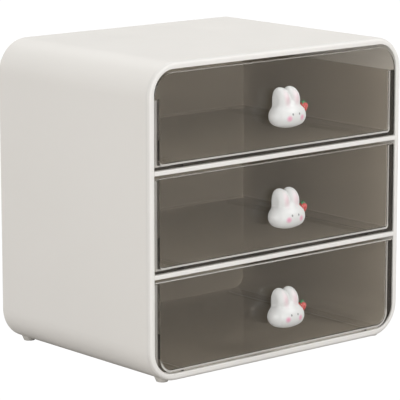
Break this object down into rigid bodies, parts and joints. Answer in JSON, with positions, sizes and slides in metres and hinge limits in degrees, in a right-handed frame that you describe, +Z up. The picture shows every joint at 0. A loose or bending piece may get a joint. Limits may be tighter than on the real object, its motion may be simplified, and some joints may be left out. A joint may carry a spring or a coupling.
{
  "type": "desktop drawer organizer",
  "caption": "Small rounded tabletop cabinet with stacked see-through drawers, each pulled out by a rabbit-head knob with a berry charm.",
  "frame": {"origin": "on the table under the middle of the whole footprint, from the front of the knobs to the back of the case", "axes": "+X to the right seen from the front, +Y to the rear, +Z up; the drawers open towards -Y"},
  "size_m": [0.2144, 0.1696, 0.201],
  "materials": {
    "case_plastic": "satin",
    "clear_drawer": "polished",
    "knob_white": "satin",
    "strawberry_red": "gloss",
    "leaf_green": "gloss",
    "screw_steel": "polished",
    "washer_steel": "satin",
    "foot_rubber": "matte"
  },
  "bodies": {
    "case": {"case_shell": "case_plastic", "back_panel": "case_plastic", "shelf_lower": "case_plastic", "shelf_upper": "case_plastic", "foot_front_left": "foot_rubber", "foot_front_right": "foot_rubber", "foot_rear_left": "foot_rubber", "foot_rear_right": "foot_rubber"},
    "bottom_drawer": {"drawer_bottom": "clear_drawer", "rabbit_knob_bottom": "knob_white", "strawberry_bottom": "strawberry_red", "strawberry_leaves_bottom": "leaf_green", "knob_washer_bottom": "washer_steel", "knob_screw_bottom": "screw_steel"},
    "middle_drawer": {"drawer_middle": "clear_drawer", "rabbit_knob_middle": "knob_white", "strawberry_middle": "strawberry_red", "strawberry_leaves_middle": "leaf_green", "knob_washer_middle": "washer_steel", "knob_screw_middle": "screw_steel"},
    "top_drawer": {"drawer_top": "clear_drawer", "rabbit_knob_top": "knob_white", "strawberry_top": "strawberry_red", "strawberry_leaves_top": "leaf_green", "knob_washer_top": "washer_steel", "knob_screw_top": "screw_steel"}
  },
  "joints": [
    {"name": "bottom_drawer_slide", "type": "slide", "parent": "case", "child": "bottom_drawer", "axis": [0, -1, 0], "range_m": [0, 0.11]},
    {"name": "middle_drawer_slide", "type": "slide", "parent": "case", "child": "middle_drawer", "axis": [0, -1, 0], "range_m": [0, 0.11]},
    {"name": "top_drawer_slide", "type": "slide", "parent": "case", "child": "top_drawer", "axis": [0, -1, 0], "range_m": [0, 0.11]}
  ]
}
